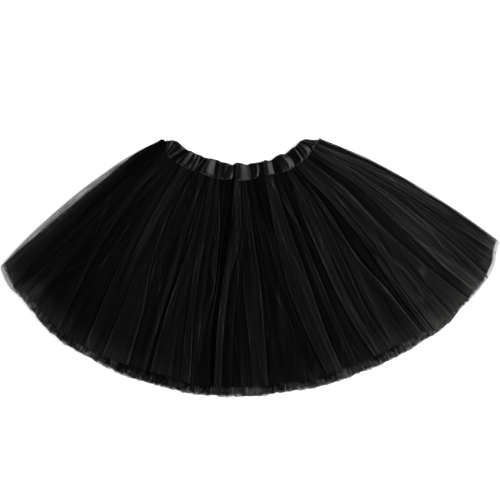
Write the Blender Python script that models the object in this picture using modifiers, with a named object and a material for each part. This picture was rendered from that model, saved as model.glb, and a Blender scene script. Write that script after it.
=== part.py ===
"""A gathered tulle tutu skirt, laid flat, front up.

Three strips of tulle, each sewn into a ring, hang from one gathered satin waistband. Laid flat, every
ring is a flattened tube: a front wall and a back wall that join in a fold at each side, open at the
waist and at the hem. The skirt fans out from the waist, so its points are worked out round the apex of
that fan: an angle, in degrees from straight down and rising to the right, and a distance from the apex,
in millimetres.
"""

import math
from collections import namedtuple

import bpy

NAME = "ballet_tutu"
MM = 0.001

# Driving sizes, in millimetres
WAIST_RADIUS = 178.4  # fan apex to the waistband's top edge, down the middle
BAND_HEIGHT = 29.4
SKIRT_LENGTH = 374.2  # waistband to the longest hem, down the middle
SEAM_GAP = 0.6  # along the seam's curve; the straight facets on each side of it come nearer
SEAM_END_GAP = 1.2  # where the seam curls up at the band's ends
BAND_END_LIFT = 1.4  # the band's rounded corners there stay this much above the seam
BAND_WALL = 4.0  # gathered satin casing, one side of the ring
TULLE_WALL = 1.0  # one gathered layer of tulle, one side of the ring
BACK_SPACING = 1.5  # between the middles of two back walls that lie on each other
FRONT_SPACING = 2.2  # the same in front, where the pleats slope
INSIDE_GAP = 2.5  # between the middles of the innermost ring's two walls

SEAM_RADIUS = WAIST_RADIUS + BAND_HEIGHT
HEM_RADIUS = SEAM_RADIUS + SKIRT_LENGTH

# Points on each quarter of a side fold, and the lines down the back walls, by their angle at the seam
FOLD_TURNS = (0.0, 45.0, 90.0)
BACK_ANGLES = (-37.4, *range(-36, 41, 4), 43.2)
BACK_LINES = [(angle, "left" if angle < 0 else "right") for angle in BACK_ANGLES]

# The share of the room between two pleats that slopes up to each of them; the rest is the flat between them
PLEAT_SLOPE = 0.36
PLEAT_ROOM = 1.0  # the least flat, in millimetres, between a side fold and the first pleat

# The skirt's sections, from the waistband down: the share of the way to the hem, the angle of each side
# fold, and the share of the pleats' height that is reached there.
Section = namedtuple("Section", "down left right fullness")
SECTIONS = (
    Section(0.00, -44.8, 46.6, 0.08),
    Section(0.06, -46.9, 48.9, 0.24),
    Section(0.14, -48.5, 51.2, 0.40),
    Section(0.25, -49.9, 53.3, 0.55),
    Section(0.50, -50.7, 55.1, 0.80),
    Section(0.75, -50.4, 55.6, 1.00),
    Section(1.00, -49.3, 55.4, 0.90),
)

# The seam under the waistband follows SEAM_RADIUS in the middle, and curls up towards the band's ends
SEAM_STRAIGHT = 30.0  # degrees each side of the middle
SEAM_END = 46.0
SEAM_RISE = 12.0  # at SEAM_END

# The hems: how far the longest one ends short of HEM_RADIUS, and how far above it the outer layer ends,
# which is cut shorter. Past the under layers' side folds the outer layer reaches below it instead.
Hem = namedtuple("Hem", "angle short outer_lift")
HEM = (
    Hem(-50.7, 54.0, -9.5),
    Hem(-48.0, 40.0, -10.0),
    Hem(-44.0, 26.0, -3.0),
    Hem(-42.5, 24.0, 12.5),
    Hem(-40.0, 20.5, 14.0),
    Hem(-36.0, 11.0, 14.0),
    Hem(-32.0, 6.2, 14.0),
    Hem(-25.0, 4.4, 14.5),
    Hem(-17.0, 3.2, 21.5),
    Hem(-8.0, -1.4, 18.5),
    Hem(0.0, 0.2, 17.5),
    Hem(9.0, 3.8, 17.0),
    Hem(18.0, 1.8, 18.5),
    Hem(28.5, 0.6, 19.5),
    Hem(34.0, 0.0, 13.5),
    Hem(38.0, -0.6, 3.0),
    Hem(42.0, 5.5, -1.0),
    Hem(48.0, 15.0, -5.0),
    Hem(52.0, 28.0, -7.0),
    Hem(53.4, 39.0, -7.0),
    Hem(55.6, 44.0, -7.0),
)
INNER_HEM_LIFT = 3.0  # the innermost hem ends this much above the longest one

# The main pleats of the front, left to right: the crest's angle at the seam, at each quarter of the way
# down and at the hem, and its height above the flat at its fullest.
Pleat = namedtuple("Pleat", "seam upper middle lower hem height")
STATIONS = (("seam", 0.0), ("upper", 0.25), ("middle", 0.5), ("lower", 0.75), ("hem", 1.0))
PLEATS = (
    Pleat(-40.4, -44.0, -44.3, -43.9, -43.7, 7.0),
    Pleat(-37.2, -39.6, -40.2, -39.8, -39.0, 8.0),
    Pleat(-33.6, -35.6, -36.4, -35.4, -34.2, 7.0),
    Pleat(-30.2, -31.0, -30.9, -29.6, -28.6, 9.0),
    Pleat(-26.8, -26.6, -26.2, -25.3, -25.0, 10.0),
    Pleat(-22.6, -22.4, -22.3, -21.1, -20.4, 9.0),
    Pleat(-18.4, -17.8, -17.2, -16.6, -15.6, 8.0),
    Pleat(-14.0, -12.2, -11.0, -10.4, -10.0, 12.0),
    Pleat(-9.2, -7.6, -6.8, -6.4, -6.4, 9.0),
    Pleat(-3.8, -3.2, -3.0, -2.6, -2.4, 9.0),
    Pleat(1.6, 3.0, 3.4, 3.6, 3.4, 11.0),
    Pleat(6.6, 8.0, 8.2, 8.6, 8.8, 7.0),
    Pleat(11.4, 12.4, 12.8, 14.0, 14.6, 12.0),
    Pleat(15.6, 16.6, 17.0, 18.0, 18.8, 9.0),
    Pleat(20.0, 22.4, 22.6, 23.0, 23.8, 11.0),
    Pleat(24.4, 27.4, 27.6, 27.6, 27.8, 9.0),
    Pleat(28.4, 31.2, 32.0, 32.2, 32.6, 11.0),
    Pleat(32.2, 35.6, 36.8, 36.8, 36.8, 9.0),
    Pleat(35.8, 39.8, 41.0, 41.6, 42.2, 12.0),
    Pleat(39.2, 44.4, 46.2, 46.6, 46.8, 10.0),
    Pleat(42.4, 48.8, 50.6, 51.0, 50.8, 8.0),
)

# Each tulle ring, from the outside in: how far its side folds stay inside the skirt's outline at the seam
# and from LOW_SHARE of the way down, how far its side folds round over, and the share of the pleats'
# height that it takes.
Layer = namedtuple("Layer", "name left_seam left_low right_seam right_low roundness rise")
LAYERS = (
    Layer("tulle_outer", 0.0, 0.0, 0.0, 0.0, 5.0, 1.00),
    Layer("tulle_middle", 6.0, 16.0, 4.0, 5.0, 3.5, 0.92),
    Layer("tulle_inner", 10.0, 21.0, 8.0, 9.0, 2.4, 0.84),
)
LOW_SHARE = 0.25

# The waistband's ends, where it folds over to the back: the angle at its top and low edges
BAND_LEFT = (-42.2, -39.2)
BAND_RIGHT = (39.8, 45.2)
BAND_ROUNDNESS = 4.5

# The waistband's top edge: how far it dips below WAIST_RADIUS
Dip = namedtuple("Dip", "angle dip")
WAIST = (
    Dip(-42.2, 8.5),
    Dip(-39.5, 0.2),
    Dip(-32.0, -2.3),
    Dip(-23.0, -3.0),
    Dip(-15.0, -1.4),
    Dip(-4.0, 0.0),
    Dip(3.0, -1.5),
    Dip(11.0, 0.6),
    Dip(19.0, 0.4),
    Dip(25.0, -0.4),
    Dip(31.0, -2.0),
    Dip(39.8, -2.2),
)

# The waistband's sections, top edge to low edge: the share of its height and of the gathers' height
BandSection = namedtuple("BandSection", "down fullness")
BAND_SECTIONS = (
    BandSection(0.00, 0.45),
    BandSection(0.30, 1.00),
    BandSection(0.70, 1.00),
    BandSection(0.94, 0.35),
    BandSection(1.00, 0.35),
)

# The waistband's gathers, left to right: the crest's angle at the top and low edges, and its height
Gather = namedtuple("Gather", "top low height")
GATHERS = (
    Gather(-38.2, -36.8, 1.6),
    Gather(-32.6, -34.0, 2.4),
    Gather(-24.0, -27.0, 2.6),
    Gather(-18.6, -20.2, 1.8),
    Gather(-13.4, -14.4, 2.8),
    Gather(-6.4, -5.8, 2.0),
    Gather(2.2, 2.8, 3.0),
    Gather(8.6, 9.2, 2.0),
    Gather(17.0, 15.8, 2.8),
    Gather(24.2, 26.4, 2.8),
    Gather(30.4, 32.6, 2.2),
    Gather(35.6, 38.8, 2.0),
)

# Heights of the walls' middles above the floor, in millimetres
BACK_HEIGHTS = [TULLE_WALL / 2 + BACK_SPACING * step for step in range(len(LAYERS))]
FRONT_HEIGHTS = [
    BACK_HEIGHTS[-1] + INSIDE_GAP + FRONT_SPACING * (len(LAYERS) - 1 - step)
    for step in range(len(LAYERS))
]
BAND_BACK_HEIGHT = BAND_WALL / 2
BAND_FRONT_HEIGHT = 8.0


def read(rows, column, at, key="angle"):
    """A table's value at any place along its key column, on straight lines between the rows."""
    if at <= getattr(rows[0], key):
        return getattr(rows[0], column)
    for above, below in zip(rows, rows[1:]):
        start, end = getattr(above, key), getattr(below, key)
        if at <= end:
            share = (at - start) / (end - start)
            return getattr(above, column) * (1 - share) + getattr(below, column) * share
    return getattr(rows[-1], column)


def blend(start, end, share):
    return start + (end - start) * share


def fan_point(angle, radius, height):
    """A point of the fan, in metres, with the apex at the origin."""
    turn = math.radians(angle)
    return (radius * math.sin(turn) * MM, -radius * math.cos(turn) * MM, height * MM)


def degrees_of(length, radius):
    return math.degrees(length / radius)


def seam_curl(angle):
    """0 along the middle of the seam, rising to 1 at SEAM_END."""
    return max(abs(angle) - SEAM_STRAIGHT, 0.0) / (SEAM_END - SEAM_STRAIGHT)


def seam_radius(angle):
    return SEAM_RADIUS - SEAM_RISE * seam_curl(angle) ** 2


def longest_hem(angle):
    return HEM_RADIUS - read(HEM, "short", angle)


def skirt_radius(angle, down):
    """How far from the apex a share of the way down the longest layer is."""
    gap = blend(SEAM_GAP, SEAM_END_GAP, seam_curl(angle))
    return blend(seam_radius(angle) + gap, longest_hem(angle), down)


def hem_share(layer, angle):
    """The share of the way down the longest layer at which a layer's own hem is."""
    lifts = {"tulle_outer": read(HEM, "outer_lift", angle), "tulle_inner": INNER_HEM_LIFT}
    return 1.0 - lifts.get(layer.name, 0.0) / (longest_hem(angle) - seam_radius(angle))


def crest_angle(pleat, down):
    """Where a pleat's crest runs at a share of the way down."""
    for (upper, start), (lower, end) in zip(STATIONS, STATIONS[1:]):
        if down <= end:
            share = (down - start) / (end - start)
            return blend(getattr(pleat, upper), getattr(pleat, lower), share)
    return pleat.hem


def pleat_lines(left, right, crests, heights):
    """Each pleat as three angles and heights: its crest between the feet of its two slopes."""
    bounds = [left, *crests, right]
    lines = []
    for place, crest in enumerate(crests, start=1):
        before = crest - (crest - bounds[place - 1]) * PLEAT_SLOPE
        after = crest + (bounds[place + 1] - crest) * PLEAT_SLOPE
        lines.append(((before, 0.0), (crest, heights[place - 1]), (after, 0.0)))
    return lines


def skirt_lines(down, rise):
    """The lines of all the pleats at a share of the way down."""
    crests = [crest_angle(pleat, down) for pleat in PLEATS]
    fullness = read(SECTIONS, "fullness", down, "down") * rise
    heights = [pleat.height * fullness for pleat in PLEATS]
    left = read(SECTIONS, "left", down, "down")
    right = read(SECTIONS, "right", down, "down")
    return pleat_lines(left, right, crests, heights)


def front_row(start, end, row, base):
    """A front wall from one side fold to the other, over the given lines."""
    return [(start, base), *((angle, base + height) for angle, height in row), (end, base)]


def ring_section(left, right, roundness, front, back_angles, back_height, radius_at):
    """One closed section of a flattened ring: over the front, round the right fold, along the back and
    round the left fold. front(start, end) gives the front wall's row between two angles.
    """
    left_turn = degrees_of(roundness, radius_at(left))
    right_turn = degrees_of(roundness, radius_at(right))
    row = front(left + left_turn, right - right_turn)
    top = row[0][1]
    middle = (top + back_height) / 2
    half = (top - back_height) / 2

    def side_fold(edge, turn, towards, turns):
        points = []
        for degrees in turns:
            swing = math.radians(degrees)
            inset = turn * (1 - math.cos(swing))
            points.append((edge + towards * inset, middle + half * math.sin(swing)))
        return points

    over_left = side_fold(left, left_turn, 1, FOLD_TURNS[:-1])
    over_right = side_fold(right, right_turn, -1, reversed(FOLD_TURNS[:-1]))
    under_right = side_fold(right, right_turn, -1, [-degrees for degrees in FOLD_TURNS[1:]])
    under_left = side_fold(left, left_turn, 1, [-degrees for degrees in reversed(FOLD_TURNS[1:])])
    back = [(angle, back_height) for angle in reversed(back_angles)]
    return over_left + row + over_right + under_right + back + under_left


def loft(name, sections, wall, material, collection):
    """An open tube through sections of the same number of points, made a wall by a Solidify modifier."""
    count = len(sections[0])
    points = [point for section in sections for point in section]
    faces = []
    for level in range(len(sections) - 1):
        for place in range(count):
            here = level * count + place
            beside = level * count + (place + 1) % count
            faces.append((here, here + count, beside + count, beside))
    mesh = bpy.data.meshes.new(name)
    mesh.from_pydata(points, [], faces)
    mesh.materials.append(material)
    mesh.shade_smooth()
    piece = bpy.data.objects.new(name, mesh)
    collection.objects.link(piece)
    solidify = piece.modifiers.new("wall", "SOLIDIFY")
    solidify.thickness = wall * MM
    solidify.offset = 0.0
    solidify.use_even_offset = True
    solidify.use_quality_normals = True
    return piece


def tulle_ring(place, layer, material, collection):
    """One strip of tulle, sewn into a ring, gathered to the band and laid flat."""
    last = SECTIONS[-1]

    def own_down(section, angle):
        return hem_share(layer, angle) if section is last else section.down

    def edge(section, side, seam_inset, low_inset, towards):
        outline = getattr(section, side)
        inset = blend(seam_inset, low_inset, min(section.down / LOW_SHARE, 1.0))
        return outline + towards * degrees_of(inset, skirt_radius(outline, section.down))

    def section_lines(section):
        """Each pleat's lines, read where that pleat meets this section."""
        crests = [crest_angle(pleat, section.down) for pleat in PLEATS]
        downs = [own_down(section, crest) for crest in crests]
        return [skirt_lines(down, layer.rise)[pleat] for pleat, down in enumerate(downs)]

    edges = [
        (
            edge(section, "left", layer.left_seam, layer.left_low, 1),
            edge(section, "right", layer.right_seam, layer.right_low, -1),
        )
        for section in SECTIONS
    ]
    lines = [section_lines(section) for section in SECTIONS]

    def fits(pleat, part):
        """Whether a pleat's line stays inside this ring's side folds all the way down."""
        for section, (left, right), pleats in zip(SECTIONS, edges, lines):
            angle = pleats[pleat][part][0]
            room = degrees_of(layer.roundness + PLEAT_ROOM, skirt_radius(angle, section.down))
            if not left + room < angle < right - room:
                return False
        return True

    def kept_lines(pleats):
        """A pleat that the side folds would cross keeps only the lines that fit, and lies flat."""
        row = []
        for pleat, pleat_line in enumerate(pleats):
            fitting = [fits(pleat, part) for part in range(len(pleat_line))]
            share = 1.0 if all(fitting) else 0.0
            row += [(angle, height * share) for (angle, height), fit in zip(pleat_line, fitting) if fit]
        return row

    sections = []
    for section, pleats, (left, right) in zip(SECTIONS, lines, edges):
        row = kept_lines(pleats)

        def front(start, end):
            return front_row(start, end, row, FRONT_HEIGHTS[place])

        def edge_radius(angle):
            return skirt_radius(angle, own_down(section, angle))

        back = [angle * getattr(section, side) / getattr(SECTIONS[0], side) for angle, side in BACK_LINES]
        height = BACK_HEIGHTS[place]
        ring = ring_section(left, right, layer.roundness, front, back, height, edge_radius)
        sections.append([fan_point(angle, edge_radius(angle), rise) for angle, rise in ring])
    return loft(layer.name, sections, TULLE_WALL, material, collection)


def waistband(material, collection):
    """The gathered satin casing, a flattened ring that folds over to the back at each end."""
    sections = []
    for section in BAND_SECTIONS:
        left = blend(*BAND_LEFT, section.down)
        right = blend(*BAND_RIGHT, section.down)

        def radius_at(angle):
            low = seam_radius(angle) - BAND_END_LIFT * seam_curl(angle)
            return blend(WAIST_RADIUS + read(WAIST, "dip", angle), low, section.down)

        def front(start, end):
            crests = [blend(gather.top, gather.low, section.down) for gather in GATHERS]
            heights = [gather.height * section.fullness for gather in GATHERS]
            lines = [line for gather in pleat_lines(start, end, crests, heights) for line in gather]
            return front_row(start, end, lines, BAND_FRONT_HEIGHT)

        spread = {"left": left / BAND_LEFT[1], "right": right / BAND_RIGHT[1]}
        back = [angle * spread[side] for angle, side in BACK_LINES]
        ring = ring_section(left, right, BAND_ROUNDNESS, front, back, BAND_BACK_HEIGHT, radius_at)
        sections.append([fan_point(angle, radius_at(angle), rise) for angle, rise in ring])
    return loft("waistband", sections, BAND_WALL, material, collection)


def cloth_material(name, colour, roughness):
    material = bpy.data.materials.new(name)
    material.use_nodes = True
    shader = material.node_tree.nodes["Principled BSDF"]
    shader.inputs["Base Color"].default_value = (*colour, 1.0)
    shader.inputs["Roughness"].default_value = roughness
    shader.inputs["Metallic"].default_value = 0.0
    material.diffuse_color = (*colour, 1.0)
    return material


def centre(pieces):
    """Sets the fan's apex so that the middle of the skirt's box, seen from above, is the origin."""
    bpy.context.view_layer.update()
    depsgraph = bpy.context.evaluated_depsgraph_get()
    corners = [corner for piece in pieces for corner in piece.evaluated_get(depsgraph).bound_box]
    middle = [(min(axis) + max(axis)) / 2 for axis in zip(*corners)]
    for piece in pieces:
        piece.location = (-middle[0], -middle[1], 0.0)


def main():
    for old in list(bpy.data.objects):
        bpy.data.objects.remove(old)
    collection = bpy.data.collections.new(NAME)
    bpy.context.scene.collection.children.link(collection)
    satin = cloth_material("black_satin", (0.012, 0.012, 0.013), 0.32)
    tulle = cloth_material("black_tulle", (0.02, 0.02, 0.021), 0.7)
    pieces = [waistband(satin, collection)]
    pieces += [tulle_ring(place, layer, tulle, collection) for place, layer in enumerate(LAYERS)]
    centre(pieces)


main()
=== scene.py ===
"""The looks of a gathered tulle tutu skirt that lies flat, front up: its cloth, floor, light and camera.

The skirt fans out from the waist, so its points are worked out round the apex of that fan: an angle, in
degrees from straight down and rising to the right, and a distance from the apex, in millimetres.
"""

import math
from collections import namedtuple

import bpy
import numpy as np
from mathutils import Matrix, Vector


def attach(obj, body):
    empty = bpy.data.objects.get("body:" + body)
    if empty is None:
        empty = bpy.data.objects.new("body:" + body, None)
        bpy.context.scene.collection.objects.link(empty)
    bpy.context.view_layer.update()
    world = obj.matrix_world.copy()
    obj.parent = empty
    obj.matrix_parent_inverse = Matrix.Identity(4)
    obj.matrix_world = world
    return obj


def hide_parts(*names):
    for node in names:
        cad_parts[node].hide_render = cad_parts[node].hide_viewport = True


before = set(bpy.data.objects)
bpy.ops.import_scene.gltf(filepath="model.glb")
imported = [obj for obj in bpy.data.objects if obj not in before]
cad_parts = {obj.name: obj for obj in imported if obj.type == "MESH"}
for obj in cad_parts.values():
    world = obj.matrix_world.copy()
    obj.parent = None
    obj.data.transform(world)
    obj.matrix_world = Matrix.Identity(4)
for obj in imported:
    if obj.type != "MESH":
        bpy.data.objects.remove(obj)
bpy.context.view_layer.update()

MM = 0.001
DEGREES = 180.0 / math.pi
APEX_X = -17.86
APEX_Y = 357.52
SEAM_RADIUS = 207.8
HEM_RADIUS = 582.0
SKIRT_LENGTH = HEM_RADIUS - SEAM_RADIUS
MEAN_SHORT = 12.0  # how far short of HEM_RADIUS the hems end on the whole
LEFT, RIGHT = 1, -1
TABLE_SEED = 4
COMPANION_SEED = 23
BAND_SEED = 71


def table(columns, *rows):
    """Rows with named columns."""
    row_kind = namedtuple("Row", columns)
    return [row_kind(*row) for row in rows]


# The skirt's outline, from the waistband down: the share of the way to the hem; the angle of each side fold;
# the share of its folds' height and lap that the cloth has reached there; and how much of the strip at the
# left, where the outer net lies alone, it has
SECTIONS = table(
    "down left right fullness strip",
    (0.00, -45.1, 46.6, 0.12, 0.05),
    (0.06, -47.1, 48.9, 0.30, 0.08),
    (0.14, -48.7, 51.2, 0.50, 0.17),
    (0.25, -50.0, 53.3, 0.70, 0.62),
    (0.50, -50.8, 55.1, 0.92, 1.00),
    (0.75, -50.4, 55.6, 1.00, 0.80),
    (1.00, -49.3, 55.4, 0.92, 0.05),
)

# The seam under the waistband, by angle: how far it is from the apex
SEAM = table(
    "angle radius",
    (-45.5, 196.0),
    (-43.5, 190.5),
    (-41.4, 191.5),
    (-40.0, 199.5),
    (-38.6, 204.6),
    (-34.0, 207.0),
    (-28.0, 207.8),
    (28.0, 207.8),
    (34.0, 207.0),
    (40.0, 203.2),
    (46.6, 195.0),
)

# The hems, by angle: how far the longest one ends short of HEM_RADIUS; how far above it the outer layer ends,
# which is cut shorter; and how much lighter the loose ends of the under layers and of the outer layer are
# painted, a painted paleness that stands for the floor's light through the thin net and for its sheen
HEM = table(
    "angle short outer_lift fringe outer_light",
    (-50.7, 50.0, -9.5, 8, 1.2),
    (-48.0, 41.0, -10.0, 10, 1.6),
    (-44.0, 27.0, -3.0, 18, 3.2),
    (-42.5, 24.5, 10.5, 18, 3.4),
    (-40.0, 20.0, 13.0, 20, 3.0),
    (-36.0, 11.0, 14.0, 16, 2.8),
    (-32.0, 6.2, 14.0, 10, 2.0),
    (-28.0, 5.4, 14.2, 17, 1.7),
    (-25.0, 4.6, 14.5, 12, 1.5),
    (-20.0, 2.6, 19.0, 8, 1.0),
    (-17.0, 2.4, 21.0, 5, 0.7),
    (-12.0, 2.0, 19.5, 9, 0.6),
    (-8.0, -1.0, 18.5, 14, 0.5),
    (-5.0, -0.4, 18.0, 6, 0.3),
    (0.0, 0.2, 17.5, 8, 0.3),
    (4.0, 0.4, 17.2, 18, 0.6),
    (7.0, 2.8, 17.0, 5, 0.4),
    (10.0, 2.0, 17.0, 10, 0.4),
    (14.0, 0.4, 17.6, 8, 0.6),
    (18.0, 1.2, 18.5, 20, 0.9),
    (22.0, 1.6, 19.0, 9, 0.4),
    (25.0, 0.4, 19.4, 8, 0.9),
    (28.5, 0.2, 19.5, 18, 1.0),
    (31.0, -0.2, 17.5, 24, 1.0),
    (34.0, 0.0, 13.5, 20, 1.2),
    (38.0, -1.6, 3.0, 24, 2.0),
    (42.0, 6.5, -1.0, 18, 1.6),
    (48.0, 13.5, -5.0, 16, 1.2),
    (52.0, 24.5, -7.0, 18, 1.6),
    (53.4, 33.5, -7.0, 18, 2.0),
    (55.6, 40.0, -7.0, 18, 2.5),
)

# The folds of the outer net's front, left to right: the fold's angle at the seam, at each quarter of the way
# down and at the hem; the shares of the way down between which it shows; which side lies on top; how far that
# side laps over the other and how far it stands above it, in millimetres; how much lighter its doubled edge
# is painted, a painted highlight where the fold turns; and how light the panel to its right is in the upper
# and in the lower skirt, partly from the plies of net there and partly painted light and shade
STATIONS = (0.0, 0.25, 0.5, 0.75, 1.0)
FOLDS = table(
    "seam upper middle lower hem start end over lap rise edge upper_tone lower_tone",
    (-43.4, -47.4, -48.3, -48.1, -47.2, 0.00, 1.00, RIGHT, 0.6, 1.5, 0.3, 0.75, 1.10),
    (-42.6, -45.0, -45.7, -45.7, -45.4, 0.00, 0.55, LEFT, 1.5, 2.5, 0.5, 0.50, 0.95),
    (-40.9, -42.2, -42.4, -43.2, -43.9, 0.45, 1.00, RIGHT, 2.0, 3.0, 1.2, 0.62, 0.92),
    (-39.4, -40.2, -40.6, -40.4, -40.2, 0.00, 0.60, RIGHT, 1.5, 2.5, 0.8, 1.00, 0.75),
    (-36.9, -37.7, -37.2, -35.6, -34.1, 0.00, 1.00, LEFT, 2.0, 3.0, 0.7, 0.75, 0.80),
    (-33.4, -34.6, -34.4, -33.4, -32.2, 0.10, 0.80, RIGHT, 1.0, 2.0, 0.4, 0.85, 0.80),
    (-31.2, -31.8, -30.8, -29.4, -28.4, 0.00, 1.00, RIGHT, 2.5, 4.0, 1.0, 0.95, 0.90),
    (-28.6, -29.3, -28.6, -27.6, -26.9, 0.00, 0.60, RIGHT, 2.0, 3.5, 0.6, 1.60, 0.95),
    (-25.6, -25.9, -26.3, -25.3, -24.9, 0.20, 1.00, RIGHT, 1.5, 3.0, 0.9, 1.05, 1.20),
    (-23.9, -24.6, -23.2, -20.9, -20.2, 0.10, 1.00, LEFT, 3.0, 5.0, 1.1, 1.00, 0.90),
    (-22.2, -23.0, -20.9, -19.3, -18.5, 0.15, 0.50, LEFT, 1.0, 2.0, 0.7, 0.95, 0.90),
    (-18.7, -18.6, -18.2, -18.1, -18.0, 0.00, 0.60, RIGHT, 1.5, 2.5, 0.7, 1.25, 0.95),
    (-16.8, -17.0, -16.9, -17.0, -16.9, 0.10, 1.00, LEFT, 1.5, 3.0, 0.6, 0.62, 0.62),
    (-15.0, -14.9, -15.6, -16.1, -15.9, 0.20, 1.00, RIGHT, 2.0, 4.0, 0.8, 1.00, 1.15),
    (-13.6, -12.6, -12.0, -11.2, -10.3, 0.00, 1.00, RIGHT, 2.0, 3.0, 0.5, 1.35, 1.30),
    (-12.2, -11.1, -10.7, -9.8, -8.7, 0.00, 1.00, LEFT, 3.0, 5.0, 1.0, 0.60, 1.00),
    (-10.8, -8.8, -8.4, -8.3, -8.2, 0.50, 1.00, LEFT, 1.2, 2.0, 0.2, 0.75, 0.92),
    (-9.6, -6.7, -6.3, -7.4, -7.6, 0.00, 0.62, LEFT, 4.0, 6.0, 2.2, 0.62, 0.80),
    (-3.6, -5.1, -5.5, -5.9, -5.2, 0.00, 1.00, LEFT, 1.5, 3.0, 0.3, 0.15, 0.15),
    (-1.8, -2.9, -4.1, -4.5, -4.3, 0.00, 1.00, RIGHT, 3.0, 5.5, 1.0, 1.20, 1.10),
    (0.9, 0.4, -2.6, -3.3, -3.2, 0.00, 1.00, LEFT, 2.0, 4.0, 1.0, 0.75, 0.50),
    (1.6, 1.2, -0.4, -1.4, -1.4, 0.40, 1.00, LEFT, 1.5, 3.0, 0.8, 0.80, 0.75),
    (2.4, 2.4, 1.0, 2.0, 2.4, 0.35, 1.00, RIGHT, 1.5, 3.0, 0.6, 0.85, 1.10),
    (3.2, 4.5, 5.4, 5.2, 5.0, 0.00, 1.00, LEFT, 3.0, 5.5, 1.3, 0.42, 0.66),
    (4.4, 6.5, 7.2, 7.8, 8.2, 0.00, 0.45, RIGHT, 1.0, 1.5, 0.2, 0.60, 0.62),
    (6.6, 8.2, 10.5, 11.8, 12.4, 0.00, 0.90, RIGHT, 1.0, 2.0, 0.5, 0.60, 0.60),
    (12.9, 12.0, 12.2, 13.9, 15.8, 0.00, 1.00, RIGHT, 3.0, 5.0, 2.0, 0.98, 0.98),
    (16.2, 16.6, 17.4, 17.6, 18.4, 0.00, 1.00, LEFT, 2.5, 4.0, 1.7, 0.75, 0.66),
    (19.0, 19.8, 20.2, 20.6, 21.3, 0.00, 1.00, LEFT, 3.0, 5.0, 1.0, 0.60, 0.80),
    (24.4, 22.6, 22.7, 23.3, 24.8, 0.00, 1.00, RIGHT, 3.0, 4.5, 2.3, 0.92, 0.92),
    (25.0, 25.4, 24.7, 25.0, 26.0, 0.20, 0.90, LEFT, 1.5, 3.0, 1.3, 0.88, 0.88),
    (26.0, 28.3, 27.7, 27.1, 27.8, 0.00, 1.00, LEFT, 2.0, 4.0, 1.2, 0.85, 0.95),
    (27.2, 30.6, 30.9, 32.8, 33.8, 0.00, 1.00, LEFT, 3.0, 5.5, 1.4, 0.50, 0.90),
    (28.8, 33.4, 34.6, 34.5, 35.0, 0.00, 1.00, RIGHT, 3.0, 5.0, 1.3, 1.10, 1.10),
    (31.2, 35.8, 36.5, 35.9, 36.2, 0.00, 1.00, RIGHT, 3.0, 4.0, 1.2, 1.10, 1.50),
    (32.6, 37.2, 37.9, 37.1, 37.4, 0.50, 1.00, LEFT, 1.0, 1.4, 0.5, 1.15, 1.45),
    (33.8, 38.5, 39.3, 39.3, 39.6, 0.50, 1.00, RIGHT, 1.0, 1.4, 0.5, 1.30, 1.50),
    (35.2, 39.8, 40.8, 42.3, 43.8, 0.00, 1.00, LEFT, 4.0, 6.0, 1.4, 0.90, 1.25),
    (37.8, 43.4, 44.2, 44.8, 45.4, 0.00, 0.90, RIGHT, 2.0, 4.0, 0.9, 1.40, 2.10),
    (39.4, 45.2, 47.0, 47.3, 47.2, 0.10, 0.45, LEFT, 0.8, 1.0, 0.4, 1.60, 2.10),
    (41.0, 47.0, 48.9, 49.2, 48.9, 0.00, 1.00, LEFT, 3.0, 5.0, 1.2, 1.20, 1.30),
    (42.6, 49.6, 52.0, 52.8, 53.2, 0.00, 1.00, RIGHT, 2.0, 3.0, 0.7, 1.90, 1.60),
    (43.8, 51.4, 54.0, 54.6, 54.7, 0.00, 0.75, LEFT, 2.0, 3.0, 2.0, 0.80, 1.00),
)
# Painted light and shade of the folds: the painted shade beside a fold that stands over the net, the painted
# highlight on a fold's edge, the painted shade that makes a panel lighter at one side, and the lightness
# where a fold doubles the net, partly the doubled net and partly a painted highlight
VALLEY_WIDTH = 3.5  # how far the shade beside a fold reaches, in millimetres
VALLEY_SHADE = 0.42
EDGE_LIGHT = 1.2
PANEL_LEAN = 0.17  # how much lighter a panel may be at one side than in its middle
DOUBLED_LIGHT = 0.16  # how much lighter the net is where its fold doubles it

# By angle: painted light over the skirt, darker towards its left and lighter towards its right, where the
# lamps are, and much paler at the far left, where the floor's light shows through the single net; and how
# strongly its fine creases show
SIDES = table(
    "angle light creased",
    (-50.0, 7.00, 0.30),
    (-48.7, 4.60, 0.30),
    (-47.9, 2.60, 0.35),
    (-47.1, 1.50, 0.40),
    (-46.0, 0.98, 0.45),
    (-44.5, 0.85, 0.50),
    (-30.0, 0.94, 0.60),
    (-14.0, 1.00, 0.85),
    (0.0, 0.93, 1.05),
    (12.0, 1.00, 1.15),
    (30.0, 1.42, 1.20),
    (50.0, 1.72, 1.05),
)
FOLD_HALF = 1.9  # half of the strip in which a fold turns back and forward, in millimetres at the hem
MOST_HALF = 0.22  # that half and the lap at most, as shares of the room beside the fold
MOST_LAP = 0.55
PANEL_ROUND = 0.07  # how high a panel bulges, as a share of its width
# The painted shade beside a fold, and the place and width of the painted highlight on its edge
FULL_SHADE = 4.0  # a fold that stands this high darkens the net beside it in full
EDGE_PLACE = 0.65  # where a fold's light edge lies, and how wide it is, as shares of FOLD_HALF
EDGE_WIDTH = 0.34

# Folds that chance spreads over a wall: how many; how far each laps over and how high it stands at most; and
# the shares of the way down between which they may begin
Chance = namedtuple("Chance", "seed count lap rise begins", defaults=((-0.3, 0.2),))

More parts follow.
